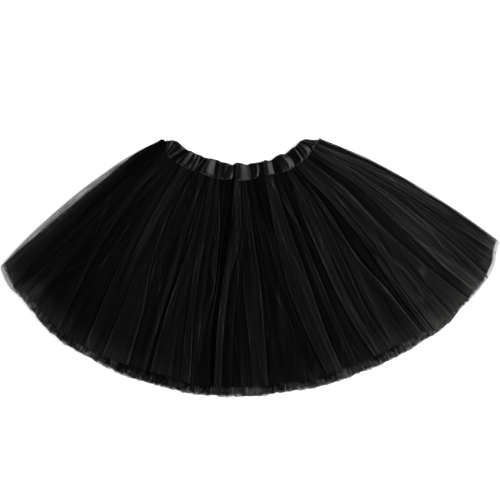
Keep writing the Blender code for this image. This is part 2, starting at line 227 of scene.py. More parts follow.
# Each ring of net, from the outside in: the CAD node it stands for; how far its left fold stays inside the
# outline where the strip is whole, and its right one at the seam and lower down; how far they round over; the
# heights of its front and back walls; its level where the seam presses the rings together; the share of the
# skirt's broad swell that it takes; how far its front and back hems end above the longest; half the width of
# its threads, as a share of its mesh; the seed of its chances; the width of its front's columns; how far its
# loose hem ruffles and how ragged it is; and the folds of its front and its back that chance lays. The outer
# front has none of those, because its folds are in their own table
RINGS = table(
    "name node left_inset right_seam right_low roundness front back level swell front_lift back_lift"
    " thread seed pitch ruffle ragged front_folds back_folds",
    ("outer_tulle", "tulle_outer", 0.0, 0.0, 0.0, 5.0, 10.4, 0.5, 1.0, 1.00, 0.0, 4.0,
     0.20, 11, 1.7, 0.8, 0.4, None, Chance(12, 34, 3.0, 0.8)),
    ("middle_tulle", "tulle_middle", 11.0, 2.5, 3.0, 3.5, 8.2, 2.0, 0.0, 0.80, 0.5, 2.5,
     0.40, 31, 2.6, 2.0, 1.5, Chance(32, 60, 2.5, 1.3, (0.0, 0.9)), Chance(33, 40, 3.0, 0.8)),
    ("inner_tulle", "tulle_inner", 16.0, 6.0, 7.0, 2.4, 6.0, 3.5, -1.0, 0.60, 1.5, 4.0,
     0.44, 51, 2.6, 1.8, 1.6, Chance(52, 56, 2.5, 1.2, (0.0, 0.9)), Chance(53, 40, 3.0, 0.8)),
)
OPEN_THREAD = 0.135  # half the width of the threads where the outer net lies single
HEM_THREAD = 0.22  # where the under layers hang free at the hem
SIDE_THREAD = 0.24  # and where their left folds spread out

# The angles between which the outer net, and the nets under it, change from single net at the left to the
# rest, those over which the under nets' patches fade out, and how far all of them lie to the left where the
# strip of single net has no width
OUTER_STRIP = (-49.6, -46.8)
UNDER_STRIP = (-49.4, -46.0)
PATCHY_STRIP = (-48.6, -45.6)
STRIP_SHIFT = 2.4

LOW_SHARE = 0.25  # from here down the side folds keep their lower inset
PRESSED_SHARE = 0.07  # the waistband presses the net flat down to here
SEAM_SQUEEZE = 0.7  # height between two walls where the seam presses them together
BAND_FRONT_HEIGHT = 8.0
BAND_BACK_HEIGHT = 2.0
TUCK = 6.5  # how far the net goes up into the waistband
SIDE_TUCK = 2.5  # and how far at its side folds
SIDE_TUCK_ANGLES = (34.0, 41.0)
DARKEST = 0.15
BACK_PITCH = 5.0
BACK_RELIEF = 0.9  # the most that a back wall's folds stand out
FRONT_CROWN = 1.6  # how far a panel of the front bulges at most
BACK_CROWN = 0.3
FRONT_FOLD_COLUMNS = 9
BACK_FOLD_COLUMNS = 5

# What chance changes over a ring of net: the number that is added to the ring's seed; the width and length of
# its patches, in millimetres; and its strength
Patches = namedtuple("Patches", "number width length strength", defaults=(1.0,))
HEM_CUTS = (Patches(0, 3.4, 1.0), Patches(1, 12.0, 1.0, 0.8))
HEM_WAVES = Patches(2, 7.0, 40.0)
HEM_SHIFTS = Patches(3, 7.0, 1.0, 0.5)
SEAM_GATHERS = Patches(4, 13.0, 150.0)
SHADES = (Patches(5, 9.0, 120.0, 0.16), Patches(6, 30.0, 110.0, 0.14))
# The crinkles are patches of painted paleness on the under layers' loose hems
CRINKLES = (Patches(7, 3.6, 5.0), Patches(8, 11.0, 9.0, 0.8), Patches(9, 40.0, 60.0, 0.6))
THREAD_PATCHES = Patches(10, 4.0, 6.0, 0.30)

# The shares of the way down between which the net changes: where its gathers fade; where its hem comes loose
# and is painted paler; and where the under layers hang single and their loose ends show in painted paleness
GATHERS_FADE = (0.05, 0.35)
HEM_LOOSE = (0.90, 1.0)
HEM_PALER = (0.85, 1.0)
SINGLE_HEM = (0.93, 0.98)
FRINGE_SHOWS = (0.94, 0.985)
LEAST_GATHERS = 0.25  # the share of the gathers that runs all the way down
BACK_GATHERS = 0.35  # and the share of them that the back has
MORE_WAVES = 0.35  # added to chance, so that more of the hem waves than lies flat
MORE_GATHERS = 0.2
# The painted paleness of the hems: how it grows towards the outer hem's edge, and its strength and patches on
# the under layers
PALER_CURVE = 1.6
FRINGE_LIGHT = 1.5
MEAN_CRINKLE = 0.70
CRINKLE_RANGE = (0.05, 2.4)
CREASED_DOWN = (1.25, 0.9)  # how strongly the fine creases show at the seam and at the hem
BACK_HEM_LEVEL = 0.15  # how much less the outer hem is lifted at the back
STRIP_MEASURED = 0.6  # the share of the way down where the strip has nearly its full width

# The swell that all the rings share: waves across the skirt, by length in degrees and height in millimetres
SWELL = table(
    "length height shift drift",
    (23.0, 1.4, 0.10, 0.15),
    (14.5, 1.0, 0.55, -0.20),
    (9.0, 0.6, 0.30, 0.10),
)


def between(start, end, share):
    return start + (end - start) * share


def ease(start, end, at):
    """0 before start, 1 after end, and a soft step between them."""
    share = np.clip((at - start) / (end - start), 0.0, 1.0)
    return share * share * (3.0 - 2.0 * share)


def arc(length, radius):
    """The angle that a length takes up round the apex."""
    return length / radius * DEGREES


def smooth_line(places, values, at):
    """The value at any place on a smooth line through the given ones, with no overshoot between them."""
    places = np.asarray(places, dtype=float)
    values = np.asarray(values, dtype=float)
    steps = np.diff(places)
    slopes = np.diff(values) / steps
    tangents = np.zeros(len(values))
    rising = slopes[:-1] * slopes[1:] > 0
    sums = np.where(rising, slopes[:-1] + slopes[1:], 1.0)
    tangents[1:-1] = np.where(rising, 2.0 * slopes[:-1] * slopes[1:] / sums, 0.0)
    tangents[0] = slopes[0]
    tangents[-1] = slopes[-1]
    at = np.clip(at, places[0], places[-1])
    low = np.clip(np.searchsorted(places, at, side="right") - 1, 0, len(places) - 2)
    span = steps[low]
    share = (at - places[low]) / span
    rest = 1.0 - share
    return (
        values[low] * (1.0 + 2.0 * share) * rest**2
        + tangents[low] * span * share * rest**2
        + values[low + 1] * (3.0 - 2.0 * share) * share**2
        - tangents[low + 1] * span * rest * share**2
    )


def read(rows, column, at, key="angle"):
    """A table's value at any place along its key column."""
    places = [getattr(row, key) for row in rows]
    values = [getattr(row, column) for row in rows]
    return smooth_line(places, values, at)


def wander(seed, across, along, pitch, reach):
    """Smooth noise from -1 to 1 over two coordinates, in patches of about pitch by reach."""
    generator = np.random.default_rng(seed)
    x, y = np.broadcast_arrays(np.asarray(across) / pitch, np.asarray(along) / reach)
    column = np.floor(x).astype(int)
    row = np.floor(y).astype(int)
    x_share = ease(0.0, 1.0, x - column)
    y_share = ease(0.0, 1.0, y - row)
    column = column - column.min()
    row = row - row.min()
    lattice = generator.uniform(-1.0, 1.0, (column.max() + 2, row.max() + 2))
    upper = between(lattice[column, row], lattice[column + 1, row], x_share)
    lower = between(lattice[column, row + 1], lattice[column + 1, row + 1], x_share)
    return between(upper, lower, y_share)


def swell_at(angle, down):
    """The broad swell of the whole skirt's front, never below 0."""
    height = sum(wave.height for wave in SWELL)
    for wave in SWELL:
        phase = angle / wave.length + wave.shift + wave.drift * down
        height = height + wave.height * np.sin(2.0 * math.pi * phase)
    return 0.5 * height * read(SECTIONS, "fullness", down, "down")


def shown_between(start, end, downs, comes, goes):
    """1 between two shares of the way down, with soft ends; whole at the seam from 0, and at the hem to 1."""
    shows = np.ones(len(downs))
    if start > 0.0:
        shows = shows * ease(start - comes[0], start + comes[1], downs)
    if end != 1.0:
        shows = shows * (1.0 - ease(end - goes[0], end + goes[1], downs))
    return shows


# ---- the net's folds and creases

FoldLine = namedtuple("FoldLine", "angles shows over lap rise edge tones doubled lean")


def table_lines(downs):
    """The outer front's folds, each with its angle and its strength in every row."""
    draw = np.random.default_rng(TABLE_SEED).uniform
    lines = []
    for fold in FOLDS:
        stations = (fold.seam, fold.upper, fold.middle, fold.lower, fold.hem)
        angles = smooth_line(STATIONS, stations, downs)
        shows = shown_between(fold.start, fold.end, downs, (0.12, 0.04), (0.08, 0.10))
        tones = between(fold.upper_tone, fold.lower_tone, ease(0.25, 0.80, downs))
        doubled = draw(4.0, 13.0)
        lean = draw(-1.0, 1.0)
        lines.append(
            FoldLine(angles, shows, fold.over, fold.lap, fold.rise, fold.edge, tones, doubled, lean)
        )
    return lines


def chance_lines(folds, left, right, downs):
    """Seeded folds spread over a hidden wall, so that no two of them cross."""
    draw = np.random.default_rng(folds.seed).uniform
    lines = []
    for place in range(folds.count):
        share = (place + 0.5 + draw(-0.28, 0.28)) / folds.count
        bend = draw(-0.16, 0.16) / folds.count
        sway = share + bend * np.sin(math.pi * (downs + draw(0.0, 1.0)))
        begins = draw(*folds.begins)
        over = LEFT if draw() < 0.5 else RIGHT
        tones = np.full(len(downs), draw(0.6, 1.3))
        lap = draw(0.5, 1.0) * folds.lap
        rise = draw(0.5, 1.0) * folds.rise
        edge = draw(0.2, 0.8)
        doubled = draw(4.0, 12.0)
        angles = left + (right - left) * sway
        shows = ease(begins, begins + 0.12, downs)
        lines.append(FoldLine(angles, shows, over, lap, rise, edge, tones, doubled, 0.0))
    return lines


# The thin creases that run aslant: the shares of the way down between which each one shows;
# its angle at its start, middle and end; its width in millimetres at the hem; and how much lighter it is than
# the net beside it
# Each crease's lightness is painted: a painted highlight where it is lighter and painted shade where it is
# darker; the short dark ones just under the waistband are its painted shadow
SLANTING = table(
    "start end first middle last width light",
    (0.10, 0.50, 17.4, 20.6, 22.9, 1.2, 2.6),
    (0.05, 0.40, 16.4, 19.0, 21.4, 0.9, 1.1),
    (0.15, 0.55, 13.4, 14.2, 15.0, 0.8, 1.0),
    (0.30, 1.00, 14.4, 16.0, 17.6, 0.8, 0.9),
    (0.45, 1.00, 10.2, 11.2, 11.9, 0.8, 1.0),
    (0.60, 1.00, 6.4, 7.4, 8.4, 0.7, 0.5),
    (0.18, 0.50, 27.0, 25.8, 24.6, 1.0, 1.6),
    (0.00, 0.25, 24.4, 27.2, 29.9, 0.9, 1.4),
    (0.00, 0.22, 14.5, 16.8, 19.2, 1.0, 1.2),
    (0.05, 0.30, 34.0, 37.0, 39.3, 1.0, 1.2),
    (0.00, 0.20, 40.5, 42.6, 45.0, 1.2, 1.2),
    (0.55, 0.98, 34.9, 35.4, 35.6, 0.7, 0.8),
    (0.60, 1.00, 38.0, 38.3, 38.7, 0.7, 0.5),
    (0.50, 1.00, 29.5, 29.4, 29.9, 0.7, 0.9),
    (0.62, 0.98, 40.6, 41.6, 42.4, 0.8, 0.6),
    (0.30, 0.80, 42.0, 44.5, 45.8, 0.8, 0.8),
    (0.45, 1.00, 50.2, 51.2, 52.2, 0.8, 1.2),
    (0.55, 1.00, 51.4, 52.6, 53.6, 0.8, 1.2),
    (0.05, 0.50, -10.2, -7.9, -6.4, 1.1, 2.2),
    (0.00, 0.35, -18.8, -16.8, -15.4, 1.1, 1.5),
    (0.05, 0.35, -21.2, -19.4, -18.2, 1.1, 1.4),
    (0.25, 0.60, -25.0, -23.2, -21.6, 1.2, 1.7),
    (0.58, 0.80, -36.4, -38.0, -39.8, 1.2, 1.7),
    (0.33, 0.60, -44.6, -41.4, -38.0, 1.6, 1.2),
    (0.00, 0.25, -35.5, -37.5, -39.2, 1.6, 1.2),
    (0.30, 0.70, -34.5, -33.6, -34.8, 1.2, 1.1),
    (0.10, 0.50, -28.8, -29.2, -28.6, 1.2, 0.9),
    (0.20, 0.75, -15.9, -15.6, -16.5, 0.8, 0.9),
    (0.05, 0.50, -1.2, -0.6, -0.2, 0.9, 1.4),
    (0.10, 0.50, 2.0, 3.2, 3.9, 0.9, 1.0),
    (0.15, 0.55, 0.6, 1.0, 1.6, 0.8, 0.9),
    (0.22, 0.44, -34.8, -35.8, -36.6, 4.0, -0.55),
    (0.50, 0.72, -39.8, -38.2, -36.8, 4.0, -0.60),
    (0.66, 0.86, -37.6, -38.6, -39.4, 5.0, -0.32),
    (0.30, 0.50, -32.6, -33.2, -33.0, 3.4, -0.45),
    (0.16, 0.52, -45.4, -45.6, -45.8, 11.0, -0.36),
    (0.05, 0.20, -20.4, -20.8, -20.2, 2.6, -0.26),
    (0.62, 0.82, -16.8, -16.6, -17.0, 3.0, -0.20),
    (0.30, 0.52, 6.2, 8.4, 9.8, 3.6, -0.45),
    (0.48, 0.80, 24.6, 25.4, 26.2, 1.6, -0.24),
    (0.20, 0.44, 20.6, 21.2, 21.8, 2.2, -0.26),
    (0.66, 0.92, 46.4, 47.2, 48.2, 4.4, -0.40),
    (0.00, 0.10, -22.4, -22.0, -21.7, 3.2, -0.85),
    (0.00, 0.13, 7.0, 7.4, 8.0, 3.0, -0.80),
    (0.00, 0.06, 39.2, 39.4, 39.8, 4.0, -0.65),
    (0.00, 0.05, 18.2, 18.6, 19.0, 1.6, -0.75),
    (0.02, 0.22, 34.0, 36.0, 38.2, 2.4, -0.55),
    (0.00, 0.22, -43.4, -45.0, -46.6, 22.0, -0.62),
)

# A fine crease: its angle and strength in every row, its width in millimetres at the hem, and how much
# lighter it is painted than the net beside it: a painted highlight where lighter, painted shade where darker
FineCrease = namedtuple("FineCrease", "angles shows width light")

# Fine creases that chance spreads over a wall: how many; where they begin and how long they are, as shares of
# the way down; how far they drift to one side; and the ranges of their width and of their painted lightness,
# highlight and shade
Loose = namedtuple("Loose", "seed count begins length drift width light")
GATHERS = Loose(21, 190, (0.0, 0.04), (0.05, 0.32), 0.014, (1.2, 3.0), (-0.6, 0.9))
WRINKLES = Loose(22, 120, (0.0, 0.7), (0.2, 0.6), 0.042, (0.7, 1.9), (-0.4, 0.9))
LEAST_CREASE = 0.35  # what is added to every crease's width, in millimetres
SLIP_WIDTH = 0.62  # the least width of a crease, as a share of how far it slips to the side in a row
CREASE_STANDS = 0.6  # how high a light crease stands, or how deep a dark one lies
CREASE_HEIGHTS = (-0.4, 0.5)


def slanting_creases(downs):
    creases = []
    for line in SLANTING:
        places = (line.start, (line.start + line.end) / 2, line.end)
        angles = smooth_line(places, (line.first, line.middle, line.last), downs)
        shows = shown_between(line.start, line.end, downs, (0.05, 0.05), (0.08, 0.06))
        creases.append(FineCrease(angles, shows, line.width, line.light))
    return creases


def fold_companions(lines, downs):
    """Fine creases that run beside the folds and drift slowly away from them."""
    generator = np.random.default_rng(COMPANION_SEED)
    draw = generator.uniform
    radius = between(SEAM_RADIUS, HEM_RADIUS, downs)
    creases = []
    for line in lines:
        for _ in range(generator.integers(2, 5)):
            side = generator.choice([-1.0, 1.0])
            top = draw(1.5, 6.0)
            low = draw(3.0, 17.0)
            angles = line.angles + arc(side * between(top, low, downs), radius)
            begins = draw(0.0, 0.5)
            ends = begins + draw(0.25, 0.8)
            shows = shown_between(begins, ends, downs, (0.08, 0.08), (0.1, 0.1))
            # Most are painted highlights beside the fold, the rest painted shade
            lights = (0.15, 0.75) if draw() < 0.72 else (-0.5, -0.2)
            light = draw(*lights)
            creases.append(FineCrease(angles, shows, draw(1.0, 2.4), light))
    return creases


def loose_creases(kind, left, right, downs):
    """Fine creases spread by chance over a wall, each with its own drift to one side."""
    generator = np.random.default_rng(kind.seed)
    draw = generator.uniform
    creases = []
    for _ in range(kind.count):
        sway = draw(0.0, 1.0) + generator.normal(0.0, kind.drift) * downs
        bend = generator.normal(0.0, 0.3 * kind.drift)
        sway = sway + bend * np.sin(math.pi * (2.0 * downs + draw()))
        begins = draw(*kind.begins)
        ends = begins + draw(*kind.length)
        shows = shown_between(begins, ends, downs, (0.06, 0.06), (0.1, 0.1))
        light = draw(*kind.light)
        angles = left + (right - left) * sway
        creases.append(FineCrease(angles, shows, draw(*kind.width), light))
    return creases


def crease_light(creases, angle, radius):
    """The creases' painted light and shade and their height over a wall, at every point of its rows and
    columns.

    One that slips far to the side between two rows is drawn wider, so that it stays whole.
    """
    light = np.ones(angle.shape)
    height = np.zeros(angle.shape)
    for crease in creases:
        distance = (angle - crease.angles[:, None]) * radius[:, None] / DEGREES
        slip = np.abs(np.gradient(crease.angles) * radius / DEGREES)[:, None]
        own_width = crease.width * radius[:, None] / HEM_RADIUS + LEAST_CREASE
        width = np.maximum(own_width, SLIP_WIDTH * slip)
        ridge = np.exp(-((distance / width) ** 2)) * crease.shows[:, None]
        light *= 1.0 + crease.light * ridge
        height += np.clip(CREASE_STANDS * crease.light, *CREASE_HEIGHTS) * ridge
    return light, height


# ---- walls of cloth

Wall = namedtuple("Wall", "angle height tone")
SIDE_DEGREES = np.array([72.0, 45.0, 18.0, -18.0, -45.0, -72.0])


def fold_columns(count):
    """The places of a fold's columns across it, from -1 to 1, closer where it turns."""
    even = np.linspace(-1.0, 1.0, count)
    return even - 0.06 * np.sin(2.0 * math.pi * even)


def panel_columns(count, first, last):
    """The places of a panel's columns across it; only the first and the last panel reach a wall's end."""
    shares = (np.arange(count) + (0.0 if first else 0.5)) / (count - (0.5 if first or last else 0.0))
    return np.clip(shares, 0.0, 1.0)


def beside_fold(line, lower_side, distance):
    """The painted shade on the net beside a fold that stands over it; where the fold doubles the net, a
    lighter tone instead, partly the doubled net and partly a painted highlight.
    """
    near = np.exp(-distance / VALLEY_WIDTH) * line.shows * min(line.rise / FULL_SHADE, 1.0)
    if line.over == lower_side:
        return 1.0 - VALLEY_SHADE * near
    doubled = 1.0 - ease(0.8 * line.doubled, 1.2 * line.doubled, distance)
    return 1.0 + DOUBLED_LIGHT * line.edge * doubled * line.shows


def lay_wall(lines, left, right, radius, fullness, fold_count, pitch, crown):
    """A wall's columns from left to right: flat panels between folds that turn back and forward again.

    Gives the angle, the height above the wall's base and the tone of each point, in rows by columns; the tone
    holds painted shade beside the folds and painted highlights on their edges.
    """
    bounds = np.array([left, *[line.angles for line in lines], right])
    widths = np.diff(bounds, axis=0) * radius / DEGREES
    scale = radius / HEM_RADIUS
    flat = np.zeros(len(radius))
    halves, lefts, rights = [flat], [flat], [flat]
    for place, line in enumerate(lines):
        room = np.minimum(widths[place], widths[place + 1])
        halves.append(np.minimum(FOLD_HALF * scale, MOST_HALF * room))
        stands = line.rise * line.shows * fullness
        rights.append(stands if line.over == LEFT else flat)
        lefts.append(flat if line.over == LEFT else stands)
    for ends in (halves, lefts, rights):
        ends.append(flat)
    tones = [np.ones(len(radius)), *[line.tones for line in lines]]
    angles, heights, shades = [], [], []

    def panel(place):
        """The panel between two folds: a low crown between the heights that its ends have."""
        first = place == 0
        last = place == len(lines)
        width = widths[place]
        start = bounds[place] + arc(halves[place], radius)
        end = bounds[place + 1] - arc(halves[place + 1], radius)
        bulge = np.minimum(crown, PANEL_ROUND * width) * fullness
        for share in panel_columns(max(2, int(round(width[-1] / pitch))), first, last):
            angles.append(between(start, end, share))
            rise = between(lefts[place], rights[place + 1], share)
            heights.append(rise + bulge * 4.0 * share * (1.0 - share))
            tone = tones[place]
            # Painted shade: the panel is painted lighter at one side, and darker beside a fold that stands
            # over it
            if not first:
                before = lines[place - 1]
                tone = tone * (1.0 + PANEL_LEAN * before.lean * (1.0 - 2.0 * share))
                tone = tone * beside_fold(before, LEFT, share * width)
            if not last:
                tone = tone * beside_fold(lines[place], RIGHT, (1.0 - share) * width)
            shades.append(tone)

    def turn(place):
        """The fold itself, which runs past its own line, back under and on again."""
        line = lines[place]
        half = halves[place + 1]
        lap = np.minimum(line.lap * scale, MOST_LAP * np.minimum(widths[place], widths[place + 1]))
        swing = (0.5 * lap + 0.5 * half) * line.shows
        crest = -EDGE_PLACE * line.over
        for across in fold_columns(fold_count):
            angles.append(line.angles + arc(half * across - swing * math.sin(math.pi * across), radius))
            heights.append(between(rights[place + 1], lefts[place + 1], float(ease(-1.0, 1.0, across))))
            tone = tones[place] if across < 0.0 else tones[place + 1]
            # A painted highlight along the fold's edge
            light = EDGE_LIGHT * line.edge * math.exp(-(((across - crest) / EDGE_WIDTH) ** 2))
            shades.append(tone + light * line.shows)

    for place in range(len(lines)):
        panel(place)
        turn(place)
    panel(len(lines))
    return Wall(np.array(angles).T, np.array(heights).T, np.array(shades).T)


def side_fold(edge, side, turn, radius, middle, above, below, out=0.0):
    """The columns that round a side fold over: down it at the right, and up it at the left.

    Above and below are its reach from its middle height, and out is how far it stands outside its edge.
    """
    degrees = SIDE_DEGREES if side == RIGHT else SIDE_DEGREES[::-1]
    angles, heights = [], []
    for swing in np.radians(degrees):
        shift = turn * (1.0 - math.cos(swing)) - arc(out * math.cos(swing), radius)
        angles.append(edge + side * shift)
        heights.append(middle + (above if swing > 0.0 else below) * math.sin(swing))
    return np.array(angles).T, np.array(heights).T


def length_across(angle, height, radius):
    """The cloth's own length across a row, right round the tube and back to its first column."""
    across = np.radians(angle) * radius
    steps = np.hypot(np.diff(across, append=across[0]), np.diff(height, append=height[0]))
    return np.concatenate([[0.0], np.cumsum(steps)])


def cloth_tube(name, angle, distance, height, strip, fall, attributes, material):
    """A tube of cloth from rows by columns of fan points, with its own flat lengths as its UV map."""
    rows, columns = angle.shape
    turn = np.radians(angle)
    x = (APEX_X + distance * np.sin(turn)) * MM
    y = (APEX_Y - distance * np.cos(turn)) * MM
    points = np.stack([x, y, height * MM], axis=-1)
    row, column = np.meshgrid(np.arange(rows - 1), np.arange(columns), indexing="ij")
    row = row.ravel()
    column = column.ravel()
    faces, flat = [], []
    for down, aside in ((0, 0), (1, 0), (1, 1), (0, 1)):
        faces.append((row + down) * columns + (column + aside) % columns)
        flat.append(np.stack([strip[column + aside] * MM, -fall[row + down] * MM], axis=-1))
    mesh = bpy.data.meshes.new(name)
    mesh.vertices.add(rows * columns)
    mesh.vertices.foreach_set("co", points.astype(np.float32).ravel())
    mesh.loops.add(4 * len(row))
    mesh.loops.foreach_set("vertex_index", np.stack(faces, axis=-1).astype(np.int32).ravel())
    mesh.polygons.add(len(row))
    mesh.polygons.foreach_set("loop_start", np.arange(0, 4 * len(row), 4, dtype=np.int32))
    mesh.polygons.foreach_set("loop_total", np.full(len(row), 4, dtype=np.int32))
    mesh.update(calc_edges=True)
    layer = mesh.uv_layers.new(name="cloth")
    layer.data.foreach_set("uv", np.stack(flat, axis=1).astype(np.float32).ravel())
    for attribute, values in attributes.items():
        own = mesh.attributes.new(attribute, "FLOAT", "POINT")
        own.data.foreach_set("value", values.astype(np.float32).ravel())
    mesh.materials.append(material)
    mesh.shade_smooth()
    mesh.validate()
    piece = bpy.data.objects.new(name, mesh)
    bpy.context.scene.collection.objects.link(piece)
    return piece


# ---- the net's rings


def net_rows():
    """The shares of the way down at which the net has rows, closer at the seam and at the hem."""
    gathered = np.linspace(0.0, 0.10, 8)
    hanging = np.linspace(0.10, 0.92, 46)[1:]
    loose = np.linspace(0.92, 1.0, 20)[1:]
    return np.concatenate([[-TUCK / SKIRT_LENGTH], gathered, hanging, loose])


class NetRing:
    """A strip of net, sewn into a ring, gathered and laid flat: its front, its side folds and its back.

    Its angle, height and tone are in rows down the skirt by columns round the ring.
    """

    def __init__(self, ring):
        self.ring = ring
        self.outer = ring.front_folds is None
        self.downs = net_rows()
        self.down = np.clip(self.downs, 0.0, 1.0)[:, None]
        self.fall = self.downs * SKIRT_LENGTH
        self.radius = between(SEAM_RADIUS, HEM_RADIUS - MEAN_SHORT, self.downs)
        self.pressed = 1.0 - ease(0.0, PRESSED_SHARE, self.downs)[:, None]
        self.join_walls(*self.lay_walls())
        self.creased = np.zeros(self.angle.shape)

    def lay_walls(self):
        """The front and the back wall, which lie between the side folds."""
        ring, downs = self.ring, self.downs
        shown = self.down[:, 0]
        columns = ("left", "right", "fullness", "strip")
        left, right, fullness, self.alone = (read(SECTIONS, column, shown, "down") for column in columns)
        low = np.minimum(shown / LOW_SHARE, 1.0)
        self.left = left + arc(ring.left_inset * self.alone, self.radius)
        self.right = right - arc(between(ring.right_seam, ring.right_low, low), self.radius)
        self.turn = arc(ring.roundness, self.radius)
        ends = (self.left + self.turn, self.right - self.turn)
        self.lines = table_lines(downs) if self.outer else chance_lines(ring.front_folds, *ends, downs)
        back_lines = chance_lines(ring.back_folds, *ends, downs)
        size = (*ends, self.radius, fullness)
        front = lay_wall(self.lines, *size, FRONT_FOLD_COLUMNS, ring.pitch, FRONT_CROWN)
        back = lay_wall(back_lines, *size, BACK_FOLD_COLUMNS, BACK_PITCH, BACK_CROWN)
        return front, back

    def join_walls(self, front, back):
        """Both walls at their own levels, pressed together at the seam and joined by the side folds."""
        ring = self.ring
        level = ring.level * SEAM_SQUEEZE
        swell = ring.swell * swell_at(front.angle, self.down)
        above = between(ring.front + swell, BAND_FRONT_HEIGHT + level, self.pressed) + front.height
        below = between(ring.back, BAND_BACK_HEIGHT - level, self.pressed)
        below = below + np.minimum(back.height, BACK_RELIEF)

        def side(edge, way, column):
            middle = (above[:, column] + below[:, column]) / 2
            reach = (above[:, column] - below[:, column]) / 2
            return side_fold(edge, way, self.turn, self.radius, middle, reach, reach)

        right_angle, right_height = side(self.right, RIGHT, -1)
        left_angle, left_height = side(self.left, LEFT, 0)
        plain = np.ones(right_angle.shape)
        self.angle = np.hstack([front.angle, right_angle, back.angle[:, ::-1], left_angle])
        self.height = np.hstack([above, right_height, below[:, ::-1], left_height])
        self.tone = np.hstack([front.tone, plain, back.tone[:, ::-1], plain])
        row = int(np.searchsorted(self.downs, STRIP_MEASURED))
        self.strip = length_across(self.angle[row], self.height[row], self.radius[row])

        # How far behind each column lies, from 0 on the front to 1 on the back
        swing = np.sin(np.radians(SIDE_DEGREES))
        fronts = np.zeros(front.angle.shape[1])
        backs = np.ones(back.angle.shape[1])
        self.behind = np.concatenate([fronts, (1.0 - swing) / 2, backs, (1.0 + swing) / 2])[None, :]

    def chance(self, *kinds, down=True):
        """What chance changes at every point, or the same all the way down a column."""
        along = self.fall[:, None] if down else 0.0
        changes = 0.0
        for kind in kinds:
            seed = self.ring.seed + kind.number
            own = wander(seed, self.strip[:-1][None, :], along, kind.width, kind.length)
            changes = changes + kind.strength * own
        return changes

    def cut_hem(self):
        """The hem, where each column is cut a little longer or shorter, and the loose edge ruffles."""
        ring = self.ring
        lift = between(ring.front_lift, ring.back_lift, self.behind)
        hem = HEM_RADIUS - read(HEM, "short", self.angle) - lift
        if self.outer:
            hem = hem - read(HEM, "outer_lift", self.angle) * (1.0 - BACK_HEM_LEVEL * self.behind)
        self.hem = hem + ring.ragged * self.chance(*HEM_CUTS, down=False)
        loose = ease(*HEM_LOOSE, self.downs)[:, None]
        waves = np.maximum(self.chance(HEM_WAVES) + MORE_WAVES, 0.0)
        self.height = self.height + ring.ruffle * loose * waves * (1.0 - self.behind)
        shift = loose * ring.ruffle * self.chance(HEM_SHIFTS, down=False)
        self.angle = self.angle + arc(shift, self.radius[:, None])

    def gather(self):
        """Fine gathers, close at the seam and fading down the skirt."""
        strength = 1.0 - ease(*GATHERS_FADE, self.downs)[:, None] + LEAST_GATHERS
        waves = np.maximum(self.chance(SEAM_GATHERS) + MORE_GATHERS, 0.0)
        gathers = strength * waves * (1.0 - self.pressed)
        self.height = self.height + gathers * between(1.0, BACK_GATHERS, self.behind)

    def shade(self):
        """How light the net is, which chance varies and into which light and shade are painted, and how wide
        its threads are drawn.

        Near the left fold the strip where the outer net lies alone is paler, and its edge goes in with it.
        """
        for shade in SHADES:
            self.tone = self.tone * (1.0 + self.chance(shade))
        place = self.angle + STRIP_SHIFT * (1.0 - self.alone[:, None])
        if self.outer:
            self.crease()
            self.thread = between(OPEN_THREAD, self.ring.thread, ease(*OUTER_STRIP, place))
            return
        # Painted paleness on the loose hems of the under layers, for the floor's light through them and their
        # sheen
        fringe = FRINGE_LIGHT * read(HEM, "fringe", self.angle) * ease(*FRINGE_SHOWS, self.downs)[:, None]
        crinkle = np.clip(MEAN_CRINKLE + self.chance(*CRINKLES), *CRINKLE_RANGE)
        self.tone = self.tone * (1.0 + fringe * crinkle)
        thread = between(SIDE_THREAD, self.ring.thread, ease(*UNDER_STRIP, place))
        thread = between(thread, HEM_THREAD, ease(*SINGLE_HEM, self.downs)[:, None])
        patches = self.chance(THREAD_PATCHES) * (1.0 - ease(*PATCHY_STRIP, place))
        self.thread = thread * (1.0 + patches)

    def crease(self):
        """The outer net's creases, in its height and in painted light and shade, and how strongly its lines
        show; with the painted light of its sides and the painted paleness of its hem.
        """
        placed, placed_ridges = crease_light(slanting_creases(self.downs), self.angle, self.radius)
        creases = fold_companions(self.lines, self.downs)
        for kind in (GATHERS, WRINKLES):
            creases = creases + loose_creases(kind, self.left, self.right, self.downs)
        light, ridges = crease_light(creases, self.angle, self.radius)
        self.creased = read(SIDES, "creased", self.angle) * between(*CREASED_DOWN, self.down)
        light = placed * (1.0 + (light - 1.0) * self.creased)
        light = between(1.0, light, 1.0 - self.behind)
        paler = ease(*HEM_PALER, self.downs)[:, None] ** PALER_CURVE
        # Painted light over the sides, and painted paleness at the hem
        self.tone = self.tone * light * read(SIDES, "light", self.angle)
        self.tone = self.tone * (1.0 + read(HEM, "outer_light", self.angle) * paler)
        self.height = self.height + (ridges + placed_ridges) * (1.0 - self.behind) * (1.0 - self.pressed)

    def piece(self, material):
        """The ring's mesh, which is tucked up into the waistband, and less far at its sides."""
        distance = between(read(SEAM, "radius", self.angle), self.hem, self.downs[:, None])
        distance[0] += (TUCK - SIDE_TUCK) * ease(*SIDE_TUCK_ANGLES, np.abs(self.angle[0]))
        attributes = {"tone": np.maximum(self.tone, DARKEST), "thread": self.thread, "creased": self.creased}
        places = (self.angle, distance, self.height, self.strip, self.fall)
        return cloth_tube(self.ring.name, *places, attributes, material)


def net_ring(ring, material):
    """One ring of net, laid, hemmed, gathered and shaded."""
    net = NetRing(ring)
    net.cut_hem()
    net.gather()
    net.shade()
    return net.piece(material)


# ---- the waistband

